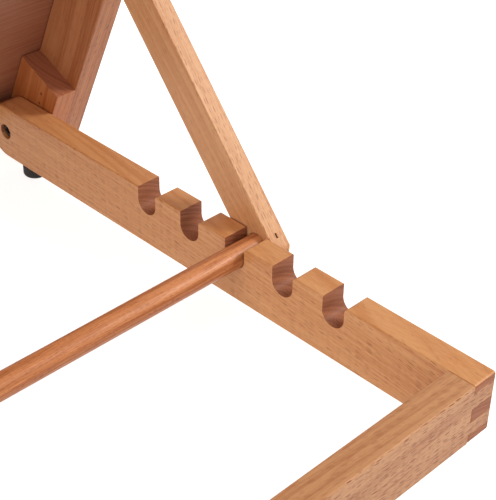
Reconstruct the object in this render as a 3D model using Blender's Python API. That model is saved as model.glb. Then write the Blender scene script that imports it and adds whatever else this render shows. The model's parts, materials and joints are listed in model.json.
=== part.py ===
"""Table easel of beech: a base frame with notched side rails, a tilting drawing board and a prop.

Metres, +Z up.  The artist sits at -Y and looks along +Y, so "left" is -X.  The table is z = 0, and
the origin is the middle of the easel's footprint.  The board hinges on the front of the base, and
the prop hangs from the board with its dowel lying in the middle one of five notches.

Each hinged group is built in its own local frame, under an empty that sits on the hinge axis:
    base   y runs back from the board hinge, z up from the table
    board  y runs back through the board, z runs up along it, both from the board hinge
    prop   z runs up along the struts, from the strut hinge, so the dowel lies below z = 0
"""

from math import atan2, cos, hypot, pi, radians, sin, sqrt

import bmesh
import bpy
from mathutils import Matrix, Vector

GAP = 0.0003                 # left between two pieces that touch
OVERSHOOT = 0.002            # how far a cutter runs past the face that it cuts

# stock
RAIL_HEIGHT = 0.035
RAIL_THICK = 0.0156
STRUT_WIDTH = 0.0226
STRUT_THICK = 0.0110
PANEL_THICK = 0.008
EDGE_EASE = 0.0012           # how far the long edges of the bars are rounded

# base frame, with y measured from the board hinge
FOOT_HEIGHT = 0.008
FOOT_RADIUS = 0.0075
RAIL_INNER_X = 0.240         # the base's inside half width
RAIL_REAR_Y = 0.3522
FRONT_FOOT_Y = 0.0166
REAR_FOOT_Y = RAIL_REAR_Y - 0.030
FINGER_LINES = (0.0052, 0.0132, 0.0209, 0.0307)   # heights of the corner joint's glue lines

# notches
NOTCH_COUNT = 5
NOTCH_USED = 2               # the prop lies in this one, counted from 0 at the front
NOTCH_FIRST_Y = 0.1236       # front wall of the first notch
NOTCH_PITCH = 0.0342
NOTCH_WIDTH = 0.0140
NOTCH_DEPTH = 0.0148
NOTCH_LEAD_IN = 0.0023       # radius at the top of each notch's rear wall

# board, with y and z measured from the board hinge
BOARD_ANGLE = radians(65.0)  # between the board and the table
BOARD_WIDTH = 0.650
BOARD_HEIGHT = 0.475
BOARD_BOTTOM_Z = -0.016
BATTEN_BACK_Y = 0.0172
BATTEN_FRONT_Y = -0.0186
BATTEN_THICK = 0.0150
BATTEN_SHORT = 0.012         # how far the battens stop below the panel's top edge
BATTEN_INNER_X = RAIL_INNER_X + 0.0296
BLOCK_TOP_Z = 0.0412
SIDE_PLAY = 0.0007           # between the rails and what swings beside them
LEDGE_DEPTH = 0.0215
LEDGE_REBATE = 0.0015        # how far the ledge is let into the panel
LEDGE_HEIGHT = 0.015
LEDGE_ROUND = 0.003
LEDGE_SCREW_X = (-0.200, 0.0, 0.200)

# prop
DOWEL_RADIUS = 0.00635
DOWEL_SOCKET = 0.009         # how deep the dowel goes into each strut
STRUT_HINGE_Z = 0.1753       # up the board from the board hinge
STRUT_END_RADIUS = 0.0135

# hardware
BOLT_RADIUS = 0.0025
BOLT_HEAD_RADIUS = 0.0043
BOLT_HEAD_THICK = 0.0025
SLEEVE_RADIUS = 0.0034
SLEEVE_HEAD_RADIUS = 0.0065
SLEEVE_HEAD_THICK = 0.0020
WASHER_RADIUS = 0.0080
SCREW_RADIUS = 0.0015
SCREW_HEAD_RADIUS = 0.0034
NAIL_RADIUS = 0.0007
BRAD_WIDTH = 0.0024
BRAD_THICK = 0.0010

# worked out from the driving dimensions
HINGE_Z = FOOT_HEIGHT + RAIL_HEIGHT / 2
RAIL_TOP_Z = FOOT_HEIGHT + RAIL_HEIGHT
RAIL_OUTER_X = RAIL_INNER_X + RAIL_THICK
SWING_INNER_X = RAIL_OUTER_X + SIDE_PLAY
STRUT_OUTER_X = SWING_INNER_X + STRUT_THICK
BATTEN_OUTER_X = BATTEN_INNER_X + BATTEN_THICK
PANEL_BACK_Y = BATTEN_FRONT_Y - GAP
PANEL_FRONT_Y = PANEL_BACK_Y - PANEL_THICK
BOARD_TOP_Z = BOARD_BOTTOM_Z + BOARD_HEIGHT
LEDGE_BACK_Y = PANEL_FRONT_Y + LEDGE_REBATE - GAP
LEDGE_FRONT_Y = LEDGE_BACK_Y - LEDGE_DEPTH
DOWEL_Y = NOTCH_FIRST_Y + NOTCH_USED * NOTCH_PITCH + NOTCH_WIDTH / 2 + 0.0002
DOWEL_Z = RAIL_TOP_Z - NOTCH_DEPTH + DOWEL_RADIUS + GAP
STRUT_TOP_Y = STRUT_HINGE_Z * cos(BOARD_ANGLE)
STRUT_TOP_Z = HINGE_Z + STRUT_HINGE_Z * sin(BOARD_ANGLE)
STRUT_LENGTH = hypot(DOWEL_Y - STRUT_TOP_Y, STRUT_TOP_Z - DOWEL_Z)
STRUT_ANGLE = atan2(STRUT_TOP_Z - DOWEL_Z, STRUT_TOP_Y - DOWEL_Y)

# the ledge's rounded lower corner is the front of the footprint, and the rear rail is its back
LEDGE_CORNER_Y = (LEDGE_FRONT_Y + LEDGE_ROUND) * sin(BOARD_ANGLE)
LEDGE_CORNER_Y += (BOARD_BOTTOM_Z + LEDGE_ROUND) * cos(BOARD_ANGLE) - LEDGE_ROUND
HINGE_Y = -(RAIL_REAR_Y + LEDGE_CORNER_Y) / 2

SIDES = {"left": -1, "right": 1}


# ---------------------------------------------------------------- materials

def make_material(name, color, roughness, metallic=0.0):
    material = bpy.data.materials.new(name)
    material.use_nodes = True
    shader = material.node_tree.nodes["Principled BSDF"]
    shader.inputs["Base Color"].default_value = (*color, 1.0)
    shader.inputs["Roughness"].default_value = roughness
    shader.inputs["Metallic"].default_value = metallic
    return material


def make_materials():
    return {
        "beech": make_material("beech", (0.60, 0.33, 0.16), 0.45),
        "dowel_wood": make_material("dowel_wood", (0.50, 0.22, 0.10), 0.40),
        "plywood": make_material("plywood", (0.42, 0.22, 0.12), 0.50),
        "rubber": make_material("rubber", (0.02, 0.02, 0.02), 0.85),
        "steel": make_material("steel", (0.55, 0.53, 0.50), 0.35, 1.0),
    }


# ---------------------------------------------------------------- shapes

def arc(center, radius, start, end, steps):
    """Points along an arc in a plane, angles in degrees."""
    points = []
    for step in range(steps + 1):
        angle = radians(start + (end - start) * step / steps)
        points.append((center[0] + radius * cos(angle), center[1] + radius * sin(angle)))
    return points


def rounded_rectangle(low, high, radius, steps=4):
    """Outline of a rectangle with rounded corners, as points in a plane."""
    corners = (
        ((high[0] - radius, high[1] - radius), 0),
        ((low[0] + radius, high[1] - radius), 90),
        ((low[0] + radius, low[1] + radius), 180),
        ((high[0] - radius, low[1] + radius), 270),
    )
    points = []
    for center, start in corners:
        points += arc(center, radius, start, start + 90, steps)
    return points


def add_object(name, mesh, parent=None, material=None):
    obj = bpy.data.objects.new(name, mesh)
    bpy.context.collection.objects.link(obj)
    obj.parent = parent
    if material:
        mesh.materials.append(material)
    return obj


def mesh_from(bm, name):
    bmesh.ops.recalc_face_normals(bm, faces=bm.faces)
    mesh = bpy.data.meshes.new(name)
    bm.to_mesh(mesh)
    bm.free()
    return mesh


def extruded(name, outline, low, high, along="X"):
    """A closed prism.  The outline is (y, z) for a prism along X and (x, z) for one along Y."""
    bm = bmesh.new()
    if along == "X":
        corners = [bm.verts.new((low, a, b)) for a, b in outline]
        step = Vector((high - low, 0, 0))
    else:
        corners = [bm.verts.new((a, low, b)) for a, b in outline]
        step = Vector((0, high - low, 0))
    face = bm.faces.new(corners)
    raised = bmesh.ops.extrude_face_region(bm, geom=[face])["geom"]
    top = [item for item in raised if isinstance(item, bmesh.types.BMVert)]
    bmesh.ops.translate(bm, verts=top, vec=step)
    return mesh_from(bm, name)


def box(name, low, high):
    """A closed box between two corners."""
    outline = [(low[1], low[2]), (high[1], low[2]), (high[1], high[2]), (low[1], high[2])]
    return extruded(name, outline, low[0], high[0])


def turned(name, profile, axis, center, segments=16, ring=False):
    """A closed turned solid.  The profile is (radius, distance along the axis) from the center."""
    bm = bmesh.new()
    verts = [bm.verts.new((radius, 0, height)) for radius, height in profile]
    edges = [bm.edges.new(pair) for pair in zip(verts, verts[1:])]
    if ring:
        edges.append(bm.edges.new((verts[-1], verts[0])))
    bmesh.ops.spin(
        bm, geom=verts + edges, cent=(0, 0, 0), axis=(0, 0, 1), angle=2 * pi, steps=segments
    )
    bmesh.ops.remove_doubles(bm, verts=bm.verts, dist=1e-6)
    turn = Vector((0, 0, 1)).rotation_difference(Vector(axis)).to_matrix().to_4x4()
    bmesh.ops.transform(bm, matrix=Matrix.Translation(center) @ turn, verts=bm.verts)
    return mesh_from(bm, name)


def shade_round(obj):
    obj.data.shade_smooth()
    obj.data.set_sharp_from_angle(angle=radians(35))


def ease_edges(obj, width=EDGE_EASE, segments=2):
    bevel = obj.modifiers.new("eased_edges", "BEVEL")
    bevel.width = width
    bevel.segments = segments
    bevel.limit_method = "ANGLE"
    bevel.angle_limit = radians(50)


def cut(obj, mesh):
    """Takes a cutter's shape out of the object.  The cutter shares the object's local frame."""
    cutter = add_object(mesh.name, mesh, obj.parent)
    cutter.hide_render = True
    cutter.display_type = "WIRE"
    boolean = obj.modifiers.new(mesh.name, "BOOLEAN")
    boolean.operation = "DIFFERENCE"
    boolean.solver = "EXACT"
    boolean.object = cutter


def sorted_x(side, a, b):
    """The two x values on the given side, lowest first."""
    return sorted((side * a, side * b))


# ---------------------------------------------------------------- base frame

def notch_walls(index):
    front = NOTCH_FIRST_Y + index * NOTCH_PITCH
    return front, front + NOTCH_WIDTH


def notch_cutter(name, side, index):
    """A U with a square front lip and a rounded rear lip."""
    front, rear = notch_walls(index)
    radius = NOTCH_WIDTH / 2
    middle = (front + radius, RAIL_TOP_Z - NOTCH_DEPTH + radius)
    lip = (rear + NOTCH_LEAD_IN, RAIL_TOP_Z - NOTCH_LEAD_IN)
    above = RAIL_TOP_Z + OVERSHOOT
    outline = [(rear + NOTCH_LEAD_IN, above), (front, above)]
    outline += arc(middle, radius, 180, 360, 10)
    outline += arc(lip, NOTCH_LEAD_IN, 180, 90, 4)
    x_low, x_high = sorted_x(side, RAIL_INNER_X - OVERSHOOT, RAIL_OUTER_X + OVERSHOOT)
    return extruded(name, outline, x_low, x_high)


def finger_bands(own):
    """The heights of one rail's fingers.  The side rails own the bands at the top and bottom."""
    lines = (0.0, *FINGER_LINES, RAIL_HEIGHT)
    first = 0 if own == "side" else 1
    return [(lines[i], lines[i + 1]) for i in range(first, len(lines) - 1, 2)]


def bolt_hole_cutter(name, side, face_x, recess_depth, end_x, height=(0.0, HINGE_Z)):
    """A clearance hole along X with a recess for the bolt's head in the face nearest the middle."""
    profile = [
        (0, -OVERSHOOT),
        (BOLT_HEAD_RADIUS + 0.0005, -OVERSHOOT),
        (BOLT_HEAD_RADIUS + 0.0005, recess_depth),
        (BOLT_RADIUS + GAP, recess_depth),
        (BOLT_RADIUS + GAP, end_x - face_x),
        (0, end_x - face_x),
    ]
    return turned(name, profile, (side, 0, 0), (side * face_x, *height))


def side_rail(word, parent, material):
    side = SIDES[word]
    name = f"base_rail_{word}"
    outline = [(RAIL_REAR_Y, FOOT_HEIGHT), (RAIL_REAR_Y, RAIL_TOP_Z)]
    outline += arc((0, HINGE_Z), RAIL_HEIGHT / 2, 90, 270, 20)
    x_low, x_high = sorted_x(side, RAIL_INNER_X, RAIL_OUTER_X)
    rail = add_object(name, extruded(name, outline, x_low, x_high), parent, material)
    ease_edges(rail)
    for index in range(NOTCH_COUNT):
        cut(rail, notch_cutter(f"notch_{index + 1}_{word}", side, index))
    slot_x = sorted_x(side, RAIL_INNER_X - OVERSHOOT, RAIL_OUTER_X + OVERSHOOT)
    slot_y = (RAIL_REAR_Y - RAIL_THICK - GAP, RAIL_REAR_Y + OVERSHOOT)
    for index, (low, high) in enumerate(finger_bands("rear")):
        slot_low = (slot_x[0], slot_y[0], FOOT_HEIGHT + low)
        slot_high = (slot_x[1], slot_y[1], FOOT_HEIGHT + high)
        cut(rail, box(f"slot_{index + 1}_{word}", slot_low, slot_high))
    cut(rail, bolt_hole_cutter(f"hinge_hole_{word}", side, RAIL_INNER_X, 0.0048,
                               RAIL_OUTER_X + OVERSHOOT))
    for place, y in (("front", FRONT_FOOT_Y), ("rear", REAR_FOOT_Y)):
        pilot = [(0, -OVERSHOOT), (SCREW_RADIUS + GAP, -OVERSHOOT), (SCREW_RADIUS + GAP, 0.0105),
                 (0, 0.0105)]
        center = (side * (RAIL_INNER_X + RAIL_THICK / 2), y, FOOT_HEIGHT)
        cut(rail, turned(f"pilot_{place}_{word}", pilot, (0, 0, 1), center, 12))
    return rail


def rear_rail(parent, material):
    """The cross rail, with two fingers at each end that run through the side rails' slots."""
    name = "base_rear_rail"
    low = (-RAIL_OUTER_X, RAIL_REAR_Y - RAIL_THICK, FOOT_HEIGHT)
    high = (RAIL_OUTER_X, RAIL_REAR_Y, RAIL_TOP_Z)
    rail = add_object(name, box(name, low, high), parent, material)
    ease_edges(rail)
    for word, side in SIDES.items():
        slot_x = sorted_x(side, RAIL_INNER_X - GAP, RAIL_OUTER_X + OVERSHOOT)
        for index, (bottom, top) in enumerate(finger_bands("side")):
            slot_low = (slot_x[0], low[1] - OVERSHOOT, FOOT_HEIGHT + bottom - GAP)
            slot_high = (slot_x[1], high[1] + OVERSHOOT, FOOT_HEIGHT + top + GAP)
            if bottom == 0:
                slot_low = (slot_x[0], low[1] - OVERSHOOT, FOOT_HEIGHT - OVERSHOOT)
            if top == RAIL_HEIGHT:
                slot_high = (slot_x[1], high[1] + OVERSHOOT, RAIL_TOP_Z + OVERSHOOT)
            cut(rail, box(f"finger_gap_{index + 1}_{word}", slot_low, slot_high))
    return rail


def foot(word, place, y, parent, material):
    """A rubber bumper with a round lower edge and a recess for its screw."""
    round_radius = 0.002
    top = FOOT_HEIGHT - GAP
    profile = [(SCREW_RADIUS + GAP, top), (FOOT_RADIUS, top)]
    profile += arc((FOOT_RADIUS - round_radius, round_radius), round_radius, 0, -90, 4)
    profile += [(SCREW_HEAD_RADIUS + GAP, 0), (SCREW_HEAD_RADIUS + GAP, 0.004)]
    profile.append((SCREW_RADIUS + GAP, 0.004))
    center = (SIDES[word] * (RAIL_INNER_X + RAIL_THICK / 2), y, 0)
    name = f"foot_{place}_{word}"
    mesh = turned(name, profile, (0, 0, 1), center, 24, ring=True)
    shade_round(add_object(name, mesh, parent, material))


def foot_screw(word, place, y, parent, material):
    head_low = 0.0015
    head_high = 0.004 - GAP
    profile = [
        (0, head_low),
        (SCREW_HEAD_RADIUS - 0.0006, head_low),
        (SCREW_HEAD_RADIUS, head_low + 0.0008),
        (SCREW_HEAD_RADIUS, head_high),
        (SCREW_RADIUS, head_high),
        (SCREW_RADIUS, FOOT_HEIGHT + 0.0075),
        (0, FOOT_HEIGHT + 0.010),
    ]
    center = (SIDES[word] * (RAIL_INNER_X + RAIL_THICK / 2), y, 0)
    name = f"foot_screw_{place}_{word}"
    mesh = turned(name, profile, (0, 0, 1), center, 12)
    shade_round(add_object(name, mesh, parent, material))


def make_base(materials):
    base = add_empty("base_frame", (0, HINGE_Y, 0), 0)
    rear_rail(base, materials["beech"])
    for word in SIDES:
        side_rail(word, base, materials["beech"])
        for place, y in (("front", FRONT_FOOT_Y), ("rear", REAR_FOOT_Y)):
            foot(word, place, y, base, materials["rubber"])
            foot_screw(word, place, y, base, materials["steel"])


# ---------------------------------------------------------------- board

def sleeve_hole_cutter(name, side, center_z):
    """The hole for a sleeve nut along X, with its head's recess in the batten's outer face."""
    head_radius = SLEEVE_HEAD_RADIUS + GAP
    recess = BATTEN_THICK - SLEEVE_HEAD_THICK - 2 * GAP
    through = BATTEN_THICK + OVERSHOOT
    profile = [
        (0, -OVERSHOOT),
        (SLEEVE_RADIUS + GAP, -OVERSHOOT),
        (SLEEVE_RADIUS + GAP, recess),
        (head_radius, recess),
        (head_radius, through),
        (0, through),
    ]
    return turned(name, profile, (side, 0, 0), (side * BATTEN_INNER_X, 0, center_z))


def batten(word, parent, material):
    side = SIDES[word]
    name = f"side_batten_{word}"
    x_low, x_high = sorted_x(side, BATTEN_INNER_X, BATTEN_OUTER_X)
    low = (x_low, BATTEN_FRONT_Y, BOARD_BOTTOM_Z)
    high = (x_high, BATTEN_BACK_Y, BOARD_TOP_Z - BATTEN_SHORT)
    bar = add_object(name, box(name, low, high), parent, material)
    ease_edges(bar)
    cut(bar, sleeve_hole_cutter(f"lower_sleeve_hole_{word}", side, 0))
    cut(bar, sleeve_hole_cutter(f"upper_sleeve_hole_{word}", side, STRUT_HINGE_Z))
    for index, nail in enumerate(block_nail_places()):
        hole = [(0, -OVERSHOOT), (NAIL_RADIUS + GAP, -OVERSHOOT), (NAIL_RADIUS + GAP, 0.009),
                (0, 0.009)]
        center = (side * BATTEN_INNER_X, *nail)
        cut(bar, turned(f"batten_nail_hole_{index + 1}_{word}", hole, (side, 0, 0), center, 8))


def spacer_block(word, parent, material):
    """The block that keeps each batten clear of the base rail and leaves the strut its room."""
    side = SIDES[word]
    name = f"spacer_block_{word}"
    x_low, x_high = sorted_x(side, SWING_INNER_X, BATTEN_INNER_X - GAP)
    low = (x_low, BATTEN_FRONT_Y, BOARD_BOTTOM_Z)
    high = (x_high, BATTEN_BACK_Y, BLOCK_TOP_Z)
    block = add_object(name, box(name, low, high), parent, material)
    ease_edges(block, 0.0006, 1)
    radius = BOLT_RADIUS + GAP
    reach = BATTEN_INNER_X - SWING_INNER_X + OVERSHOOT
    hole = [(0, -OVERSHOOT), (radius, -OVERSHOOT), (radius, reach), (0, reach)]
    cut(block, turned(f"block_hole_{word}", hole, (side, 0, 0), (side * SWING_INNER_X, 0, 0)))
    radius = NAIL_RADIUS + GAP
    hole = [(0, -OVERSHOOT), (radius, -OVERSHOOT), (radius, reach), (0, reach)]
    for index, nail in enumerate(block_nail_places()):
        center = (side * SWING_INNER_X, *nail)
        cut(block, turned(f"block_nail_hole_{index + 1}_{word}", hole, (side, 0, 0), center, 8))


def block_nail_places():
    """Where the two nails go into a spacer block's face, as (y, z) in the board's frame."""
    return ((0.0042, 0.0311), (0.0047, 0.0234))


def block_nail(word, index, place, parent, material):
    """A headless nail, sunk a little below the block's face and running into the batten."""
    side = SIDES[word]
    start = SWING_INNER_X + 0.0012
    length = BATTEN_INNER_X + 0.0085 - start
    profile = [(0, 0), (NAIL_RADIUS, 0), (NAIL_RADIUS, length - 0.001), (0, length)]
    name = f"block_nail_{index + 1}_{word}"
    mesh = turned(name, profile, (side, 0, 0), (side * start, *place), 8)
    shade_round(add_object(name, mesh, parent, material))


def hinge_bolt(name, side, head_x, center_z, parent, material):
    """A machine screw along X whose thread ends inside the sleeve nut."""
    end = BATTEN_OUTER_X - 0.005 - head_x
    profile = [
        (0, 0),
        (BOLT_HEAD_RADIUS - 0.0008, 0),
        (BOLT_HEAD_RADIUS, 0.0008),
        (BOLT_HEAD_RADIUS, BOLT_HEAD_THICK),
        (BOLT_RADIUS, BOLT_HEAD_THICK),
        (BOLT_RADIUS, end),
        (0, end),
    ]
    mesh = turned(name, profile, (side, 0, 0), (side * head_x, 0, center_z))
    shade_round(add_object(name, mesh, parent, material))


def sleeve_nut(name, side, center_z, parent, material):
    """A round nut with a flat head, sunk into the batten's outer face."""
    bore = BOLT_RADIUS + GAP
    start = BATTEN_INNER_X + 0.0015
    head = BATTEN_OUTER_X - GAP - SLEEVE_HEAD_THICK - start
    end = BATTEN_OUTER_X - GAP - start
    bottom = BATTEN_OUTER_X - 0.0045 - start
    profile = [
        (0, bottom),
        (bore, bottom),
        (bore, 0),
        (SLEEVE_RADIUS, 0),
        (SLEEVE_RADIUS, head),
        (SLEEVE_HEAD_RADIUS, head),
        (SLEEVE_HEAD_RADIUS, end - 0.0006),
        (SLEEVE_HEAD_RADIUS - 0.0006, end),
        (0, end),
    ]
    mesh = turned(name, profile, (side, 0, 0), (side * start, 0, center_z))
    shade_round(add_object(name, mesh, parent, material))


def strut_washer(word, parent, material):
    side = SIDES[word]
    start = STRUT_OUTER_X + GAP
    thick = BATTEN_INNER_X - GAP - start
    bore = BOLT_RADIUS + GAP
    profile = [(bore, 0), (WASHER_RADIUS, 0), (WASHER_RADIUS, thick), (bore, thick)]
    name = f"strut_washer_{word}"
    center = (side * start, 0, STRUT_HINGE_Z)
    mesh = turned(name, profile, (side, 0, 0), center, 24, ring=True)
    shade_round(add_object(name, mesh, parent, material))


def panel(parent, material):
    name = "drawing_panel"
    half = BOARD_WIDTH / 2
    outline = rounded_rectangle((-half, BOARD_BOTTOM_Z), (half, BOARD_TOP_Z), 0.006)
    mesh = extruded(name, outline, PANEL_FRONT_Y, PANEL_BACK_Y, along="Y")
    sheet = add_object(name, mesh, parent, material)
    ease_edges(sheet, 0.0008)
    low = (-half - OVERSHOOT, PANEL_FRONT_Y - OVERSHOOT, BOARD_BOTTOM_Z - OVERSHOOT)
    high = (half + OVERSHOOT, PANEL_FRONT_Y + LEDGE_REBATE, BOARD_BOTTOM_Z + LEDGE_HEIGHT + GAP)
    cut(sheet, box("ledge_rebate", low, high))
    head = SCREW_HEAD_RADIUS + GAP
    shank = SCREW_RADIUS + GAP
    hole = [(0, -OVERSHOOT), (head, -OVERSHOOT), (head, 0.0022), (shank, 0.0040),
            (shank, PANEL_THICK + OVERSHOOT), (0, PANEL_THICK + OVERSHOOT)]
    for index, x in enumerate(LEDGE_SCREW_X):
        center = (x, PANEL_BACK_Y, BOARD_BOTTOM_Z + LEDGE_HEIGHT / 2)
        cut(sheet, turned(f"panel_screw_hole_{index + 1}", hole, (0, -1, 0), center, 16))


def ledge(parent, material):
    """The strip along the panel's lower edge that holds the paper."""
    name = "paper_ledge"
    half = BOARD_WIDTH / 2
    outline = rounded_rectangle(
        (LEDGE_FRONT_Y, BOARD_BOTTOM_Z), (LEDGE_BACK_Y, BOARD_BOTTOM_Z + LEDGE_HEIGHT),
        LEDGE_ROUND)
    strip = add_object(name, extruded(name, outline, -half, half), parent, material)
    shank = SCREW_RADIUS + GAP
    hole = [(0, -OVERSHOOT), (shank, -OVERSHOOT), (shank, 0.0150), (0, 0.0150)]
    for index, x in enumerate(LEDGE_SCREW_X):
        center = (x, LEDGE_BACK_Y, BOARD_BOTTOM_Z + LEDGE_HEIGHT / 2)
        cut(strip, turned(f"ledge_screw_hole_{index + 1}", hole, (0, -1, 0), center, 12))


def ledge_screw(index, x, parent, material):
    """A countersunk wood screw from the panel's back into the ledge."""
    tip = PANEL_THICK + GAP + 0.013
    profile = [
        (0, 0.0006),
        (SCREW_HEAD_RADIUS, 0.0006),
        (SCREW_HEAD_RADIUS, 0.0018),
        (SCREW_RADIUS, 0.0036),
        (SCREW_RADIUS, tip - 0.003),
        (0, tip),
    ]
    name = f"ledge_screw_{index + 1}"
    center = (x, PANEL_BACK_Y, BOARD_BOTTOM_Z + LEDGE_HEIGHT / 2)
    mesh = turned(name, profile, (0, -1, 0), center, 12)
    shade_round(add_object(name, mesh, parent, material))


def make_board(materials):
    board = add_empty("board_hinge", (0, HINGE_Y, HINGE_Z), BOARD_ANGLE - pi / 2)
    steel = materials["steel"]
    panel(board, materials["plywood"])
    ledge(board, materials["beech"])
    for index, x in enumerate(LEDGE_SCREW_X):
        ledge_screw(index, x, board, steel)
    for word, side in SIDES.items():
        batten(word, board, materials["beech"])
        spacer_block(word, board, materials["beech"])
        for index, place in enumerate(block_nail_places()):
            block_nail(word, index, place, board, steel)
        hinge_bolt(f"board_hinge_bolt_{word}", side, RAIL_INNER_X + 0.002, 0, board, steel)
        sleeve_nut(f"board_hinge_nut_{word}", side, 0, board, steel)
        hinge_bolt(f"strut_bolt_{word}", side, SWING_INNER_X + 0.0005, STRUT_HINGE_Z, board, steel)
        sleeve_nut(f"strut_nut_{word}", side, STRUT_HINGE_Z, board, steel)
        strut_washer(word, board, steel)
    return board


# ---------------------------------------------------------------- prop

def brad_box(name, side, margin, low_y, high_y):
    """The flat brad that pins a strut to the dowel, or with a margin its hole."""
    middle = side * (SWING_INNER_X + STRUT_THICK / 2)
    half_x = BRAD_THICK / 2 + margin
    half_z = BRAD_WIDTH / 2 + margin
    low = (middle - half_x, low_y, -STRUT_LENGTH - half_z)
    high = (middle + half_x, high_y, -STRUT_LENGTH + half_z)
    return box(name, low, high)


def brad_hole(name, side):
    return brad_box(name, side, GAP, -0.0045 - GAP, STRUT_WIDTH / 2 + OVERSHOOT)


def strut(word, parent, material):
    """A bar with shallow round ends, a bolt hole at the top and the dowel's socket below."""
    side = SIDES[word]
    name = f"strut_{word}"
    half = STRUT_WIDTH / 2
    corner = sqrt(STRUT_END_RADIUS ** 2 - half ** 2)
    spread = 180 * atan2(half, corner) / pi
    outline = arc((0, 0), STRUT_END_RADIUS, 90 - spread, 90 + spread, 10)
    outline += arc((0, -STRUT_LENGTH), STRUT_END_RADIUS, 270 - spread, 270 + spread, 10)
    x_low, x_high = sorted_x(side, SWING_INNER_X, STRUT_OUTER_X)
    bar = add_object(name, extruded(name, outline, x_low, x_high), parent, material)
    ease_edges(bar, 0.0008)
    cut(bar, bolt_hole_cutter(f"strut_bolt_hole_{word}", side, SWING_INNER_X,
                              BOLT_HEAD_THICK + 0.0008, STRUT_OUTER_X + OVERSHOOT, (0, 0)))
    radius = DOWEL_RADIUS + GAP
    socket = [(0, -OVERSHOOT), (radius, -OVERSHOOT), (radius, DOWEL_SOCKET), (0, DOWEL_SOCKET)]
    center = (side * SWING_INNER_X, 0, -STRUT_LENGTH)
    cut(bar, turned(f"dowel_socket_{word}", socket, (side, 0, 0), center, 24))
    cut(bar, brad_hole(f"strut_brad_hole_{word}", side))


def prop_dowel(parent, material):
    name = "prop_dowel"
    half = SWING_INNER_X + DOWEL_SOCKET - GAP
    ease = 0.0008
    profile = [(0, -half), (DOWEL_RADIUS - ease, -half), (DOWEL_RADIUS, -half + ease),
               (DOWEL_RADIUS, half - ease), (DOWEL_RADIUS - ease, half), (0, half)]
    mesh = turned(name, profile, (1, 0, 0), (0, 0, -STRUT_LENGTH), 24)
    dowel = add_object(name, mesh, parent, material)
    shade_round(dowel)
    for word, side in SIDES.items():
        cut(dowel, brad_hole(f"dowel_brad_hole_{word}", side))


def dowel_brad(word, parent, material):
    name = f"dowel_brad_{word}"
    mesh = brad_box(name, SIDES[word], 0, -0.0045, STRUT_WIDTH / 2 - 0.001)
    add_object(name, mesh, parent, material)


def make_prop(board, materials):
    prop = add_empty("strut_hinge", (0, 0, STRUT_HINGE_Z), STRUT_ANGLE - BOARD_ANGLE, board)
    prop_dowel(prop, materials["dowel_wood"])
    for word in SIDES:
        strut(word, prop, materials["beech"])
        dowel_brad(word, prop, materials["steel"])


# ---------------------------------------------------------------- assembly

def add_empty(name, location, tilt, parent=None):
    """An empty on a hinge axis, turned about X by the tilt."""
    empty = bpy.data.objects.new(name, None)
    bpy.context.collection.objects.link(empty)
    empty.parent = parent
    empty.location = location
    empty.rotation_euler = (tilt, 0, 0)
    return empty


def main():
    for obj in list(bpy.data.objects):
        bpy.data.objects.remove(obj)
    materials = make_materials()
    make_base(materials)
    board = make_board(materials)
    make_prop(board, materials)


main()
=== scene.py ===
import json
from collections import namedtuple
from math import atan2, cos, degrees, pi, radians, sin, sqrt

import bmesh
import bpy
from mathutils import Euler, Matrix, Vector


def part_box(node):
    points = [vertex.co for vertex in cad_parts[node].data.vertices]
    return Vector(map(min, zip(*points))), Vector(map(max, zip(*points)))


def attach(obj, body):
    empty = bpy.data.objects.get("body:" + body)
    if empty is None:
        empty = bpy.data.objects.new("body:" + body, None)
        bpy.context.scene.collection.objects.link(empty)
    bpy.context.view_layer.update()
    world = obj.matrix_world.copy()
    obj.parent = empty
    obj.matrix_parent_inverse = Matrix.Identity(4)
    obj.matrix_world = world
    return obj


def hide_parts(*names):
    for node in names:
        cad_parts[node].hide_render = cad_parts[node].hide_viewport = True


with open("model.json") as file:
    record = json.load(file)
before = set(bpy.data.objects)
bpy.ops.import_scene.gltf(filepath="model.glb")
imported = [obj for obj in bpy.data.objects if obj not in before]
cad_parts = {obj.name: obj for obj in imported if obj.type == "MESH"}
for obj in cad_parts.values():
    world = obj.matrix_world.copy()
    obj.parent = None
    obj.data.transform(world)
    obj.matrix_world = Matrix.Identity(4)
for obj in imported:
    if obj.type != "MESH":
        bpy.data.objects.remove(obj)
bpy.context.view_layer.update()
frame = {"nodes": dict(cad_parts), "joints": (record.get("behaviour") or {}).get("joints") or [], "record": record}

# Looks of the beech table easel.  Every wooden piece, foot and fastener is rebuilt here in fine
# mesh at the CAD's size and place, with rounded edges, machined notches and solid wood figure.
#
# Local frames, in metres, one for each moving group:
#     base   y runs back from the board hinge, z up from the table
#     board  y runs back through the board, z runs up along it, both from the board hinge
#     prop   z runs up along the struts, from the strut hinge, so the dowel lies below z = 0

SIDES = {"left": -1, "right": 1}
OVERSHOOT = 0.002

# edges
RAIL_EASE = 0.0009
REAR_CORNER_ROUND = 0.0016
BATTEN_EASE = 0.0007
STRUT_EASE = 0.0006
BLOCK_EASE = 0.0004
CUT_EDGE_EASE = 0.00018
SMALL_HOLE_EASE = 0.00015
BLOCK_HOLE_EASE = 0.00012
SOCKET_EDGE_EASE = 0.0001
PANEL_EASE = 0.0008
PANEL_CORNER = 0.006
LEDGE_EASE = 0.0015
LEDGE_CORNER = 0.003
BRAD_EASE = 0.0002
JOINT_LINE = 0.00012         # a glued joint's visible line
JOINT_OVERLAP = 0.0009       # where a glued and sanded joint shows no line at all

# notches, whose places come from the record's openings
NOTCH_WIDTH = 0.0140
NOTCH_DEPTH = 0.0148
NOTCH_LEAD_IN = 0.0023

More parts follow.
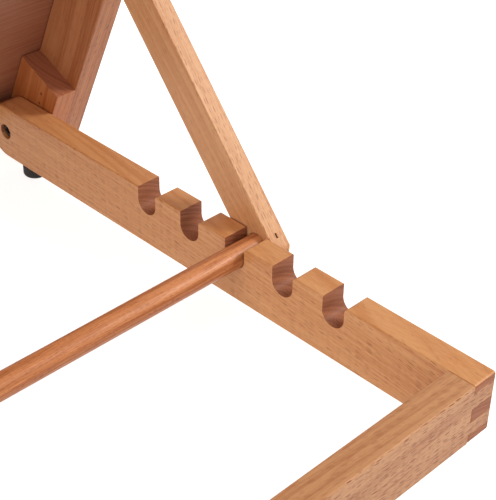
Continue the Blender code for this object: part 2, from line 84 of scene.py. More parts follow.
# hardware
BOLT_RECESS_RADIUS = 0.0048
BOLT_RECESS_DEPTH = 0.0048
STRUT_RECESS_DEPTH = 0.0033
BOLT_RADIUS = 0.0025
BOLT_CLEARANCE = 0.0002
BOLT_HEAD = 0.0025
SOCKET_WIDTH = 0.0040        # across the flats of a bolt's hexagon socket
SMALL_SOCKET_WIDTH = 0.0026  # the same for a screw
SLEEVE_BORE = 0.0027
SLEEVE_RADIUS = 0.0034
SCREW_SHANK_RADIUS = 0.0015
SCREW_HEAD_CLEARANCE = 0.0002
NAIL_HOLE_RADIUS = 0.00095
BATTEN_NAIL_DEPTH = 0.009
DOWEL_CLEARANCE = 0.0002
DOWEL_SOCKET_DEPTH = 0.009
SMOOTH_BELOW = 38            # degrees between two faces that shade as one surface


# ---------------------------------------------------------------- frames of the moving groups

def joint_place(name):
    joint = next(j for j in frame["joints"] if j["name"] == name)
    return Vector(joint["pos_m"])


def middle(node):
    low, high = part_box(node)
    return (low + high) / 2


def group_frames():
    """The matrix of each group's local frame, read from the joints and the dowel."""
    hinge = joint_place("board_tilt")
    strut_hinge = joint_place("prop_swing")
    dowel = middle("prop_dowel")
    up_board = strut_hinge - hinge
    up_strut = strut_hinge - Vector((strut_hinge.x, dowel.y, dowel.z))
    board_turn = Matrix.Rotation(atan2(up_board.z, up_board.y) - pi / 2, 4, "X")
    prop_turn = Matrix.Rotation(atan2(up_strut.z, up_strut.y) - pi / 2, 4, "X")
    return {
        "base": Matrix.Translation((0, hinge.y, 0)),
        "board": Matrix.Translation(hinge) @ board_turn,
        "prop": Matrix.Translation(strut_hinge) @ prop_turn,
    }


FRAMES = group_frames()
HINGE_Z = joint_place("board_tilt").z
STRUT_HINGE = (joint_place("prop_swing") - joint_place("board_tilt")).length
STRUT_LENGTH = (FRAMES["prop"].inverted() @ middle("prop_dowel")).z * -1


def local_box(node, body):
    """Lowest and highest corner of a CAD node in its group's local frame."""
    turn = FRAMES[body].inverted()
    corners = [turn @ vertex.co for vertex in frame["nodes"][node].data.vertices]
    low = Vector([min(corner[axis] for corner in corners) for axis in range(3)])
    high = Vector([max(corner[axis] for corner in corners) for axis in range(3)])
    return low, high


def inner_face(low, high, side, y=0):
    """A point half way up a box's face towards the easel's middle.  y is 0 on a hinge's axis."""
    return (low.x if side > 0 else high.x, y, (low.z + high.z) / 2)


# ---------------------------------------------------------------- camera, light and floor

def make_camera():
    data = bpy.data.cameras.new("camera")
    data.lens = 93.314
    data.sensor_width = 36.0
    data.clip_start = 0.05
    data.clip_end = 50.0
    camera = bpy.data.objects.new("camera", data)
    camera.location = (0.14102, 0.43529, 0.41961)
    camera.rotation_euler = Euler([radians(angle) for angle in (55.018, -0.828, 135.367)])
    bpy.context.scene.collection.objects.link(camera)
    bpy.context.scene.camera = camera


def add_area_light(name, place, target, size, power):
    data = bpy.data.lights.new(name, "AREA")
    data.shape = "DISK"
    data.size = size
    data.energy = power
    light = bpy.data.objects.new(name, data)
    light.location = place
    light.rotation_euler = (Vector(target) - Vector(place)).to_track_quat("-Z", "Y").to_euler()
    bpy.context.scene.collection.objects.link(light)


def make_stage():
    """A white room with a large soft light from behind the easel and a weak one beside it."""
    world = bpy.data.worlds.new("studio")
    world.use_nodes = True
    background = world.node_tree.nodes["Background"]
    background.inputs["Color"].default_value = (1, 1, 1, 1)
    background.inputs["Strength"].default_value = 0.72
    bpy.context.scene.world = world
    bpy.context.scene.view_settings.view_transform = "Standard"
    add_area_light("key_light", place=(-2.2, 1.6, 1.7), target=(0, 0.05, 0.1), size=1.1, power=50)
    add_area_light("fill_light", place=(1.5, 0.15, 0.6), target=(-0.2, 0.05, 0.05), size=0.9,
                   power=9)
    make_floor()


def make_floor():
    """A pale floor that glows enough to hide most of the shadow and throws no light back up."""
    reach = 6.0
    corners = [(-reach, -reach, 0), (reach, -reach, 0), (reach, reach, 0), (-reach, reach, 0)]
    data = bpy.data.meshes.new("floor")
    data.from_pydata(corners, [], [(0, 1, 2, 3)])
    paint = bpy.data.materials.new("floor_paint")
    paint.use_nodes = True
    shader = paint.node_tree.nodes["Principled BSDF"]
    shader.inputs["Base Color"].default_value = (0.60, 0.60, 0.60, 1)
    shader.inputs["Roughness"].default_value = 0.9
    shader.inputs["Emission Color"].default_value = (1, 1, 1, 1)
    shader.inputs["Emission Strength"].default_value = 0.80
    data.materials.append(paint)
    floor = bpy.data.objects.new("floor", data)
    floor.visible_diffuse = False
    bpy.context.scene.collection.objects.link(floor)


# ---------------------------------------------------------------- material nodes

def srgb(red, green, blue):
    """A colour given in screen values from 0 to 255, as linear light with alpha."""
    def linear(value):
        value /= 255
        return value / 12.92 if value <= 0.04045 else ((value + 0.055) / 1.055) ** 2.4
    return (linear(red), linear(green), linear(blue), 1.0)


class Nodes:
    """Short forms for wiring a material's nodes.  An input is a socket or a plain value."""

    def __init__(self, tree):
        self.tree = tree

    def add(self, kind, inputs=(), **settings):
        node = self.tree.nodes.new(kind)
        for name, value in settings.items():
            setattr(node, name, value)
        for key, value in dict(inputs).items():
            if isinstance(value, bpy.types.NodeSocket):
                self.tree.links.new(value, node.inputs[key])
            else:
                node.inputs[key].default_value = value
        return node

    def math(self, operation, first, second=0.0, third=0.0):
        node = self.add("ShaderNodeMath", {0: first, 1: second, 2: third}, operation=operation)
        return node.outputs[0]

    def vector(self, x, y, z):
        return self.add("ShaderNodeCombineXYZ", {0: x, 1: y, 2: z}).outputs[0]

    def stretched(self, places, scales):
        return self.vector(*(self.math("MULTIPLY", *pair) for pair in zip(places, scales)))

    def split(self, vector):
        return self.add("ShaderNodeSeparateXYZ", {0: vector}).outputs

    def noise(self, vector, scale=1.0, detail=2.0, roughness=0.5):
        inputs = {"Vector": vector, "Scale": scale, "Detail": detail, "Roughness": roughness}
        return self.add("ShaderNodeTexNoise", inputs).outputs["Fac"]

    def remap(self, value, low, high, new_low=0.0, new_high=1.0):
        inputs = {0: value, 1: low, 2: high, 3: new_low, 4: new_high}
        return self.add("ShaderNodeMapRange", inputs, interpolation_type="SMOOTHSTEP").outputs[0]

    def mix(self, factor, first, second, blend="MIX"):
        node = self.add("ShaderNodeMix", {"Factor": factor}, data_type="RGBA", blend_type=blend)
        for socket, value in ((node.inputs[6], first), (node.inputs[7], second)):
            if isinstance(value, bpy.types.NodeSocket):
                self.tree.links.new(value, socket)
            else:
                socket.default_value = value
        return node.outputs[2]


def new_material(name):
    material = bpy.data.materials.new(name)
    material.use_nodes = True
    return material, Nodes(material.node_tree), material.node_tree.nodes["Principled BSDF"]


# ---------------------------------------------------------------- wood

BEECH = {
    "light": srgb(220, 159, 104),
    "dark": srgb(200, 132, 78),
    "fleck": srgb(140, 68, 26),
    "stain": srgb(158, 76, 38),
    "stain_strength": 0.12,
    "end_light": srgb(170, 112, 84),
    "end_dark": srgb(112, 62, 42),
    "fleck_strength": 0.70,
    "fleck_share": 0.22,
    "fleck_size": (0.0062, 0.00066),
    "fleck_turn": 75.0,      # degrees that the rays lie round from the through axis
    "fleck_on_edge": 0.15,   # how strongly they show on the faces that they run along
    "slope": 0.03,           # how far the grain runs off the piece's own direction
    "pith": 0.070,           # from the piece's middle to the tree's
    "pith_turn": 20.0,       # degrees that the pith lies round from the through axis
    "roughness": 0.40,
    "milled_depth": 0.0,     # how far below the top the notches were milled
}


# a runs along the grain and c away from the pith.  turn and radius go round and out from the pith.
Grain = namedtuple("Grain", "a b c wave turn radius")


def wood(name, node, body, along, through, seed, **changes):
    """Solid beech with growth rings, fibres, rays and darker end grain.

    along is the axis of the grain and through the axis towards the tree's pith, as letters of the
    group's local frame, which the piece's own mesh is in.
    """
    look = {**BEECH, **changes}
    low, high = local_box(node, body)
    across = next(axis for axis in "xyz" if axis not in (along, through))
    material, nodes, shader = new_material(name)
    coordinates = nodes.add("ShaderNodeTexCoord")
    from_middle = nodes.add("ShaderNodeVectorMath", {0: coordinates.outputs["Object"],
                                                     1: (low + high) / 2}, operation="SUBTRACT")
    place = dict(zip("xyz", nodes.split(from_middle.outputs[0])))
    normal = dict(zip("xyz", nodes.split(coordinates.outputs["Normal"])))

    grain = grain_coordinates(nodes, place[along], place[across], place[through], seed, look)
    rings_at = nodes.stretched((grain.a, grain.radius, grain.turn), (2.0, 560.0, 10.0))
    rings = nodes.remap(nodes.noise(rings_at, 1.0, 3.0, 0.65), 0.30, 0.70)
    fibres_at = nodes.stretched((grain.a, grain.turn, grain.radius), (60.0, 1900.0, 1900.0))
    fibres = nodes.noise(fibres_at, 1.0, 3.0, 0.65)
    flecks = fleck_mask(nodes, grain, place[across], place[through], look)
    flecks = nodes.math("MULTIPLY", flecks,
                        fleck_showing(nodes, normal[across], normal[through], look))

    color = long_grain_color(nodes, grain, rings, fibres, look)
    color = nodes.mix(flecks, color, look["fleck"])
    ends = nodes.remap(nodes.math("ABSOLUTE", normal[along]), 0.75, 0.96)
    if look["milled_depth"]:
        milled = milled_faces(nodes, normal["x"], place["z"], (high.z - low.z) / 2,
                              look["milled_depth"])
        ends = nodes.math("MAXIMUM", ends, milled)
    pores_at = nodes.vector(nodes.math("MULTIPLY", place[across], 1900.0),
                            nodes.math("MULTIPLY", place[through], 1900.0), 0.0)
    pores = nodes.remap(nodes.noise(pores_at, 1.0, 2.0), 0.30, 0.75, -0.15, 0.35)
    end_tone = nodes.math("MULTIPLY_ADD", rings, 0.62, pores)
    color = nodes.mix(ends, color, nodes.mix(end_tone, look["end_light"], look["end_dark"]))
    nodes.tree.links.new(color, shader.inputs["Base Color"])
    wood_surface(nodes, shader, fibres, flecks, ends, look)
    return material


def grain_coordinates(nodes, along, across, through, seed, look):
    """The cross-section turned until c points away from the pith, with slow waves in the grain."""
    turn_cos, turn_sin = cos(radians(look["pith_turn"])), sin(radians(look["pith_turn"]))
    b = nodes.math("MULTIPLY_ADD", across, turn_cos, nodes.math("MULTIPLY", through, -turn_sin))
    c = nodes.math("MULTIPLY_ADD", across, turn_sin, nodes.math("MULTIPLY", through, turn_cos))
    a = nodes.math("ADD", along, seed * 0.731)
    b = nodes.math("MULTIPLY_ADD", along, look["slope"], b)
    c = nodes.math("MULTIPLY_ADD", along, look["slope"] * 0.5, c)
    wave_at = nodes.stretched((a, b, c), (9.0, 30.0, 30.0))
    wave = nodes.math("SUBTRACT", nodes.noise(wave_at, 1.0, 2.0), 0.5)
    b = nodes.math("MULTIPLY_ADD", wave, 0.004, b)
    c = nodes.math("MULTIPLY_ADD", wave, 0.002, c)
    depth = nodes.math("ADD", c, look["pith"])
    b_squared = nodes.math("MULTIPLY", b, b)
    radius = nodes.math("SQRT", nodes.math("MULTIPLY_ADD", depth, depth, b_squared))
    turn = nodes.math("MULTIPLY", nodes.math("ARCTAN2", b, depth), look["pith"])
    return Grain(a, b, c, wave, turn, radius)


def long_grain_color(nodes, grain, rings, fibres, look):
    """Rings, fibres and a broad drift of tone, with redder stained streaks over them."""
    drift_at = nodes.stretched((grain.a, grain.b, grain.c), (12.0, 70.0, 70.0))
    drift = nodes.noise(drift_at, 1.0, 2.0)
    tone = nodes.math("MULTIPLY_ADD", rings, 0.36, nodes.math("MULTIPLY", fibres, 0.70))
    tone = nodes.math("MULTIPLY_ADD", drift, 0.45, tone)
    tone = nodes.remap(tone, 0.42, 1.08)
    color = nodes.mix(tone, look["light"], look["dark"])
    stain_at = nodes.stretched((grain.a, grain.b, grain.c), (26.0, 420.0, 420.0))
    stain = nodes.remap(nodes.noise(stain_at, 1.0, 2.0), 0.56, 0.74, 0.0, look["stain_strength"])
    return nodes.mix(stain, color, look["stain"])


def milled_faces(nodes, normal_x, place_z, top, depth):
    """The notches' walls and floors.  They cut across the fibres, so they look like end grain."""
    floor = top - depth
    sideways = nodes.remap(nodes.math("ABSOLUTE", normal_x), 0.15, 0.50, 1.0, 0.0)
    above = nodes.remap(place_z, floor - 0.0008, floor - 0.0003)
    below = nodes.remap(place_z, top - 0.0009, top - 0.0004, 1.0, 0.0)
    return nodes.math("MULTIPLY", sideways, nodes.math("MULTIPLY", above, below))


def wood_surface(nodes, shader, fibres, flecks, ends, look):
    """A thin satin varnish, rougher on the ends, over fibres and slightly sunken rays."""
    rough = nodes.remap(fibres, 0.2, 0.8, look["roughness"] - 0.05, look["roughness"] + 0.08)
    rough = nodes.math("MULTIPLY_ADD", ends, 0.20, rough)
    nodes.tree.links.new(rough, shader.inputs["Roughness"])
    height = nodes.math("MULTIPLY_ADD", flecks, -0.35, nodes.math("MULTIPLY", fibres, 0.6))
    bump = nodes.add("ShaderNodeBump", {"Strength": 0.35, "Distance": 0.00012, "Height": height})
    nodes.tree.links.new(bump.outputs[0], shader.inputs["Normal"])
    shader.inputs["Specular IOR Level"].default_value = 0.22
    shader.inputs["Coat Weight"].default_value = 0.05
    shader.inputs["Coat Roughness"].default_value = 0.30


def fleck_showing(nodes, normal_across, normal_through, look):
    """Rays show as crisp dashes on the faces they end in, and hardly on those they run along."""
    turn = radians(look["fleck_turn"])
    edgewise = nodes.math("MULTIPLY_ADD", normal_across, cos(turn),
                          nodes.math("MULTIPLY", normal_through, -sin(turn)))
    return nodes.remap(nodes.math("ABSOLUTE", edgewise), 0.45, 0.90, 1.0, look["fleck_on_edge"])


def fleck_mask(nodes, grain, across, through, look):
    """Rays in two sizes.  Each is a thin ribbon, so it shows as a short dark dash where it ends."""
    length, width = look["fleck_size"]
    depth, tilt = 0.014, 1.7
    turn = radians(look["fleck_turn"])
    edge = nodes.math("MULTIPLY_ADD", across, cos(turn),
                      nodes.math("MULTIPLY", through, -sin(turn)))
    flat = nodes.math("MULTIPLY_ADD", across, sin(turn),
                      nodes.math("MULTIPLY", through, cos(turn)))
    edge = nodes.math("MULTIPLY_ADD", grain.a, -tilt * look["slope"], edge)
    edge = nodes.math("MULTIPLY_ADD", grain.wave, 0.003, edge)
    masks = []
    for size, share in ((1.0, 1.0), (0.6, 0.7)):
        at = nodes.vector(nodes.math("DIVIDE", grain.a, length * size),
                          nodes.math("DIVIDE", edge, width * size),
                          nodes.math("DIVIDE", flat, depth * size))
        cell = nodes.add("ShaderNodeTexVoronoi", {"Vector": at, "Scale": 1.0, "Randomness": 1.0},
                         voronoi_dimensions="3D", feature="F1")
        chance = nodes.split(cell.outputs["Color"])[0]
        spot = nodes.remap(cell.outputs["Distance"], 0.26, 0.44, 1.0, 0.0)
        chosen = nodes.remap(chance, 0.8 - look["fleck_share"], 1.2 - look["fleck_share"])
        masks.append(nodes.math("MULTIPLY", nodes.math("MULTIPLY", spot, chosen), share))
    both = nodes.math("MAXIMUM", *masks)
    return nodes.math("MULTIPLY", both, look["fleck_strength"])


def plywood(name, thickness_low, thickness_high):
    """A pale face veneer, painted shade on the back face, and the plies showing along the edges."""
    material = wood(name, "drawing_panel", "board", "x", "y", 5, slope=0.03, pith=0.110,
                    pith_turn=0.0, fleck_strength=0.35,
                    light=srgb(224, 170, 122), dark=srgb(204, 138, 90), fleck=srgb(150, 84, 44))
    nodes = Nodes(material.node_tree)
    shader = material.node_tree.nodes["Principled BSDF"]
    face_color = shader.inputs["Base Color"].links[0].from_socket
    coordinates = nodes.add("ShaderNodeTexCoord")
    place = nodes.split(coordinates.outputs["Object"])
    normal = nodes.split(coordinates.outputs["Normal"])
    # painted shade: the back face's colour is multiplied darker to stand for the shade behind the leaning board
    back = nodes.remap(normal[1], 0.45, 0.80)
    back_shade_tint = nodes.mix(back, (1, 1, 1, 1), srgb(190, 168, 178))
    face_color = nodes.mix(1.0, face_color, back_shade_tint, "MULTIPLY")
    plies = 5
    layer = nodes.math("MULTIPLY", nodes.math("SUBTRACT", place[1], thickness_low),
                       plies / (thickness_high - thickness_low))
    odd = nodes.math("GREATER_THAN", nodes.math("MODULO", layer, 2.0), 1.0)
    line = nodes.math("ABSOLUTE", nodes.math("SUBTRACT", nodes.math("FRACT", layer), 0.5))
    glue = nodes.remap(line, 0.44, 0.49)
    speckle_at = nodes.stretched(place, (700.0, 1500.0, 700.0))
    speckle = nodes.remap(nodes.noise(speckle_at, 1.0, 3.0), 0.3, 0.7, 0.0, 0.5)
    ply = nodes.mix(odd, srgb(214, 168, 124), srgb(150, 98, 64))
    ply = nodes.mix(speckle, ply, srgb(132, 84, 54))
    ply = nodes.mix(glue, ply, srgb(96, 58, 38))
    on_edge = nodes.remap(nodes.math("ABSOLUTE", normal[1]), 0.45, 0.80, 1.0, 0.0)
    nodes.tree.links.new(nodes.mix(on_edge, face_color, ply), shader.inputs["Base Color"])
    return material


# ---------------------------------------------------------------- rubber and steel

def rubber():
    material, nodes, shader = new_material("rubber_feet")
    place = nodes.add("ShaderNodeTexCoord").outputs["Object"]
    grain = nodes.noise(place, 2600.0, 3.0)
    dust = nodes.remap(nodes.noise(place, 240.0, 4.0), 0.5, 0.8, 0.0, 0.5)
    color = nodes.mix(dust, srgb(24, 20, 17), srgb(44, 38, 33))
    nodes.tree.links.new(color, shader.inputs["Base Color"])
    nodes.tree.links.new(nodes.remap(grain, 0.3, 0.7, 0.62, 0.82), shader.inputs["Roughness"])
    bump = nodes.add("ShaderNodeBump", {"Strength": 0.4, "Distance": 0.0001, "Height": grain})
    nodes.tree.links.new(bump.outputs[0], shader.inputs["Normal"])
    return material


def steel(name, bright, dull, rough):
    material, nodes, shader = new_material(name)
    place = nodes.add("ShaderNodeTexCoord").outputs["Object"]
    clouds = nodes.noise(place, 420.0, 4.0)
    scuffs = nodes.noise(place, 2400.0, 2.0)
    color = nodes.mix(nodes.remap(clouds, 0.35, 0.65), bright, dull)
    nodes.tree.links.new(color, shader.inputs["Base Color"])
    nodes.tree.links.new(nodes.remap(scuffs, 0.3, 0.7, rough - 0.08, rough + 0.12),
                         shader.inputs["Roughness"])
    shader.inputs["Metallic"].default_value = 1.0
    bump = nodes.add("ShaderNodeBump", {"Strength": 0.2, "Distance": 0.00005, "Height": scuffs})
    nodes.tree.links.new(bump.outputs[0], shader.inputs["Normal"])
    return material


# ---------------------------------------------------------------- shapes

def arc(center, radius, start, end, steps):
    """Points along an arc in a plane, angles in degrees."""
    points = []
    for step in range(steps + 1):
        angle = radians(start + (end - start) * step / steps)
        points.append((center[0] + radius * cos(angle), center[1] + radius * sin(angle)))
    return points


def rounded_rectangle(low, high, radius, steps=6):
    corners = (
        ((high[0] - radius, high[1] - radius), 0),
        ((low[0] + radius, high[1] - radius), 90),
        ((low[0] + radius, low[1] + radius), 180),
        ((high[0] - radius, low[1] + radius), 270),
    )
    points = []
    for center, start in corners:
        points += arc(center, radius, start, start + 90, steps)
    return points


def mesh_from(bm, name):
    bmesh.ops.recalc_face_normals(bm, faces=bm.faces)
    mesh = bpy.data.meshes.new(name)
    bm.to_mesh(mesh)
    bm.free()
    return mesh


def prism(name, outline, low, high, along="x"):
    """A closed prism.  The outline is (y, z) along x and (x, z) along y."""
    bm = bmesh.new()
    if along == "x":
        corners = [bm.verts.new((low, a, b)) for a, b in outline]
        step = Vector((high - low, 0, 0))
    else:
        corners = [bm.verts.new((a, low, b)) for a, b in outline]
        step = Vector((0, high - low, 0))
    raised = bmesh.ops.extrude_face_region(bm, geom=[bm.faces.new(corners)])["geom"]
    top = [item for item in raised if isinstance(item, bmesh.types.BMVert)]
    bmesh.ops.translate(bm, verts=top, vec=step)
    return mesh_from(bm, name)


def block(name, low, high):
    outline = [(low[1], low[2]), (high[1], low[2]), (high[1], high[2]), (low[1], high[2])]
    return prism(name, outline, low[0], high[0])


def turned(name, profile, axis, center, segments=32, ring=False):
    """A closed turned solid from a profile of (radius, distance along the axis)."""
    bm = bmesh.new()
    verts = [bm.verts.new((radius, 0, height)) for radius, height in profile]
    edges = [bm.edges.new(pair) for pair in zip(verts, verts[1:])]
    if ring:
        edges.append(bm.edges.new((verts[-1], verts[0])))
    bmesh.ops.spin(bm, geom=verts + edges, cent=(0, 0, 0), axis=(0, 0, 1), angle=2 * pi,
                   steps=segments)
    bmesh.ops.remove_doubles(bm, verts=bm.verts, dist=1e-6)
    turn = Vector((0, 0, 1)).rotation_difference(Vector(axis)).to_matrix().to_4x4()
    bmesh.ops.transform(bm, matrix=Matrix.Translation(center) @ turn, verts=bm.verts)
    return mesh_from(bm, name)


def hole(name, axis, center, radius, depth, segments=32):
    """A round cutter that starts just outside the face and runs to the depth."""
    profile = [(0, -OVERSHOOT), (radius, -OVERSHOOT), (radius, depth), (0, depth)]
    return turned(name, profile, axis, center, segments)


def new_object(name, mesh, body):
    obj = bpy.data.objects.new(name, mesh)
    bpy.context.scene.collection.objects.link(obj)
    obj.matrix_world = FRAMES[body]
    return obj


def add_bevel(obj, width, segments, angle=50):
    bevel = obj.modifiers.new("bevel", "BEVEL")
    bevel.width = width
    bevel.segments = segments
    bevel.limit_method = "ANGLE"
    bevel.angle_limit = radians(angle)
    bevel.harden_normals = False


def finish_piece(obj, cutters=(), cut_ease=0.0):
    """Takes the cutters out, breaks the cut edges and bakes the modifiers into the mesh."""
    helpers = []
    for mesh in cutters:
        helper = bpy.data.objects.new(mesh.name, mesh)
        bpy.context.scene.collection.objects.link(helper)
        helper.matrix_world = obj.matrix_world
        boolean = obj.modifiers.new(mesh.name, "BOOLEAN")
        boolean.operation = "DIFFERENCE"
        boolean.solver = "EXACT"
        boolean.object = helper
        helpers.append(helper)
    if cut_ease:
        add_bevel(obj, cut_ease, 2, 40)
    bpy.context.view_layer.update()
    ready = obj.evaluated_get(bpy.context.evaluated_depsgraph_get())
    mesh = bpy.data.meshes.new_from_object(ready)
    obj.modifiers.clear()
    obj.data = mesh
    mesh.name = obj.name
    for helper in helpers:
        bpy.data.objects.remove(helper)
    mesh.shade_smooth()
    mesh.set_sharp_from_angle(angle=radians(SMOOTH_BELOW))
    weighted = obj.modifiers.new("weighted_normals", "WEIGHTED_NORMAL")
    weighted.keep_sharp = True
    weighted.weight = 60


def place_piece(obj, body, material, slot, *nodes):
    obj.data.materials.clear()
    obj.data.materials.append(material)
    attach(obj, body)
    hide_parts(*nodes)


def sorted_x(side, a, b):
    return sorted((side * a, side * b))


# ---------------------------------------------------------------- base frame

def notch_middles(word):
    """The middle of each notch along the rail.  The record leaves out the one in use."""
    hinge_y = FRAMES["base"].translation.y
    boxes = [opening["box_m"] for opening in frame["record"]["physics"]["openings"]
             if opening["name"].endswith(word)]
    free = sorted((low[1] + high[1]) / 2 - hinge_y for low, high in boxes)
    return sorted(free + [sum(free) / len(free)])


def notch_cutter(name, x_low, x_high, y_middle, top):
    """A U with a square front lip and a rounded rear lip."""
    radius = NOTCH_WIDTH / 2
    front, rear = y_middle - radius, y_middle + radius
    outline = [(rear + NOTCH_LEAD_IN, top + OVERSHOOT), (front, top + OVERSHOOT)]
    outline += arc((y_middle, top - NOTCH_DEPTH + radius), radius, 180, 360, 28)
    outline += arc((rear + NOTCH_LEAD_IN, top - NOTCH_LEAD_IN), NOTCH_LEAD_IN, 180, 90, 8)
    return prism(name, outline, x_low, x_high)


def recess_cutter(name, side, face_x, center, radius, depth, reach):
    """A bolt hole along x with a wider recess at the face nearest the middle."""
    profile = [
        (0, -OVERSHOOT), (radius, -OVERSHOOT), (radius, depth),
        (BOLT_RADIUS + BOLT_CLEARANCE, depth), (BOLT_RADIUS + BOLT_CLEARANCE, reach), (0, reach),
    ]
    return turned(name, profile, (side, 0, 0), (side * face_x, *center))


def finger_bands():
    """The low and high edge of each of the rear rail's fingers, from the heights in its CAD end."""
    end_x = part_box("base_rear_rail")[1].x - 0.0001
    vertices = frame["nodes"]["base_rear_rail"].data.vertices
    heights = sorted({round(vertex.co.z, 5) for vertex in vertices if vertex.co.x > end_x})
    return list(zip(heights[::2], heights[1::2]))


FINGERS = finger_bands()


def base_rail(word):
    side = SIDES[word]
    name = f"base_rail_{word}"
    low, high = local_box(name, "base")
    x_inner, x_outer = sorted((abs(low.x), abs(high.x)))
    radius = (high.z - low.z) / 2
    outline = arc((high.y - REAR_CORNER_ROUND, low.z + REAR_CORNER_ROUND), REAR_CORNER_ROUND,
                  -90, 0, 6)
    outline += arc((high.y - REAR_CORNER_ROUND, high.z - REAR_CORNER_ROUND), REAR_CORNER_ROUND,
                   0, 90, 6)
    outline += arc((0, HINGE_Z), radius, 90, 270, 48)
    rail = new_object(f"{name}_wood", prism(name, outline, low.x, high.x), "base")
    add_bevel(rail, RAIL_EASE, 5)
    cutters = [
        notch_cutter(f"{name}_notch_{index}", low.x - OVERSHOOT, high.x + OVERSHOOT, y, high.z)
        for index, y in enumerate(notch_middles(word))
    ]
    rear_rail_front = local_box("base_rear_rail", "base")[0].y
    for index, (bottom, top) in enumerate(FINGERS):
        slot_low = (low.x - OVERSHOOT, rear_rail_front - JOINT_LINE, bottom - JOINT_LINE)
        slot_high = (high.x + OVERSHOOT, high.y + OVERSHOOT, top + JOINT_LINE)
        cutters.append(block(f"{name}_slot_{index}", slot_low, slot_high))
    cutters.append(recess_cutter(f"{name}_recess", side, x_inner, (0, HINGE_Z),
                                 BOLT_RECESS_RADIUS, BOLT_RECESS_DEPTH,
                                 x_outer - x_inner + OVERSHOOT))
    finish_piece(rail, cutters, CUT_EDGE_EASE)
    material = wood(f"beech_{name}", name, "base", "y", "z", 11 if side < 0 else 23,
                    pith_turn=side * 27.0, slope=0.10, milled_depth=NOTCH_DEPTH,
                    end_light=srgb(174, 108, 74), end_dark=srgb(120, 66, 40))
    place_piece(rail, "base", material, "beech", name)


def base_rear_rail():
    name = "base_rear_rail"
    low, high = local_box(name, "base")
    side_rail_inner = local_box("base_rail_right", "base")[0].x
    rail = new_object(f"{name}_wood", block(name, low, high), "base")
    add_bevel(rail, RAIL_EASE, 5)
    cutters = []
    edges = [low.z - OVERSHOOT, *(edge for finger in FINGERS for edge in finger),
             high.z + OVERSHOOT]
    for index, (bottom, top) in enumerate(zip(edges[::2], edges[1::2])):
        for word, side in SIDES.items():
            x_low, x_high = sorted_x(side, side_rail_inner - JOINT_LINE, high.x + OVERSHOOT)
            corner_low = (x_low, low.y - OVERSHOOT, bottom)
            corner_high = (x_high, high.y + OVERSHOOT, top)
            cutters.append(block(f"{name}_gap_{index}_{word}", corner_low, corner_high))
    finish_piece(rail, cutters, CUT_EDGE_EASE)
    material = wood(f"beech_{name}", name, "base", "x", "y", 37, slope=0.04,
                    fleck_strength=0.95, fleck_share=0.50, fleck_size=(0.0060, 0.00066),
                    fleck_turn=15.0, fleck_on_edge=0.2, stain_strength=0.60,
                    light=srgb(202, 146, 100), dark=srgb(178, 120, 76), fleck=srgb(132, 62, 20))
    place_piece(rail, "base", material, "beech", name)


def foot(name):
    low, high = local_box(name, "base")
    center = ((low.x + high.x) / 2, (low.y + high.y) / 2, 0)
    radius = (high.x - low.x) / 2
    bore, recess_radius, recess = 0.0018, 0.0037, 0.004
    ease, sole_round = 0.0004, 0.0021
    profile = [(bore, high.z), (radius - ease, high.z), (radius, high.z - ease)]
    profile += arc((radius - sole_round, sole_round), sole_round, 0, -90, 10)
    profile += arc((recess_radius + ease, ease), ease, 270, 180, 4)
    profile += [(recess_radius, recess), (bore, recess)]
    piece = new_object(f"{name}_rubber", turned(name, profile, (0, 0, 1), center, 48, ring=True),
                       "base")
    finish_piece(piece)
    place_piece(piece, "base", MATERIALS["rubber"], "rubber", name)


# ---------------------------------------------------------------- fasteners

def hexagon(name, axis, center, width, depth):
    """A cutter for a hexagon socket with a slightly pointed floor."""
    radius, point = width / sqrt(3), 0.0006
    profile = [(0, -OVERSHOOT), (radius, -OVERSHOOT), (radius, depth), (0, depth + point)]
    return turned(name, profile, axis, center, 6)


def headed_pin(name, body, axis, center, head_radius, head, shank_radius, length, socket):
    """A round-headed screw or bolt that starts at its head's outer face."""
    ease, chamfer, socket_depth = 0.0007, 0.0006, head * 0.55
    profile = [(0, 0)]
    profile += arc((head_radius - ease, ease), ease, -90, 0, 5)
    profile += [(head_radius, head), (shank_radius, head), (shank_radius, length - chamfer),
                (shank_radius - chamfer, length), (0, length)]
    piece = new_object(f"{name}_steel", turned(name, profile, axis, center, 40), body)
    finish_piece(piece, [hexagon(f"{name}_socket", axis, center, socket, socket_depth)],
                 SOCKET_EDGE_EASE)
    return piece


def foot_screw(name):
    low, high = local_box(name, "base")
    center = ((low.x + high.x) / 2, (low.y + high.y) / 2, low.z)
    head_radius, head = (high.x - low.x) / 2, 0.0022
    piece = headed_pin(name, "base", (0, 0, 1), center, head_radius, head, SCREW_SHANK_RADIUS,
                       high.z - low.z, SMALL_SOCKET_WIDTH)
    place_piece(piece, "base", MATERIALS["steel"], "steel", name)


def hinge_bolt(name, side):
    low, high = local_box(name, "board")
    piece = headed_pin(name, "board", (side, 0, 0), inner_face(low, high, side),
                       (high.z - low.z) / 2, BOLT_HEAD, BOLT_RADIUS, high.x - low.x,
                       SOCKET_WIDTH)
    place_piece(piece, "board", MATERIALS["dark_steel"], "steel", name)


def sleeve_nut(name, side):
    low, high = local_box(name, "board")
    length = high.x - low.x
    head_radius = (high.z - low.z) / 2
    head, ease, socket_depth, bore_end = 0.0020, 0.0008, 0.0022, length - 0.0042
    profile = [(0, bore_end), (SLEEVE_BORE, bore_end), (SLEEVE_BORE, 0), (SLEEVE_RADIUS, 0),
               (SLEEVE_RADIUS, length - head), (head_radius, length - head)]
    profile += arc((head_radius - ease, length - ease), ease, 0, 90, 5)
    profile.append((0, length))
    mesh = turned(name, profile, (side, 0, 0), inner_face(low, high, side), 40)
    piece = new_object(f"{name}_steel", mesh, "board")
    outer = inner_face(low, high, -side)
    socket = hexagon(f"{name}_socket", (-side, 0, 0), outer, SOCKET_WIDTH, socket_depth)
    finish_piece(piece, [socket], SOCKET_EDGE_EASE)
    place_piece(piece, "board", MATERIALS["steel"], "steel", name)


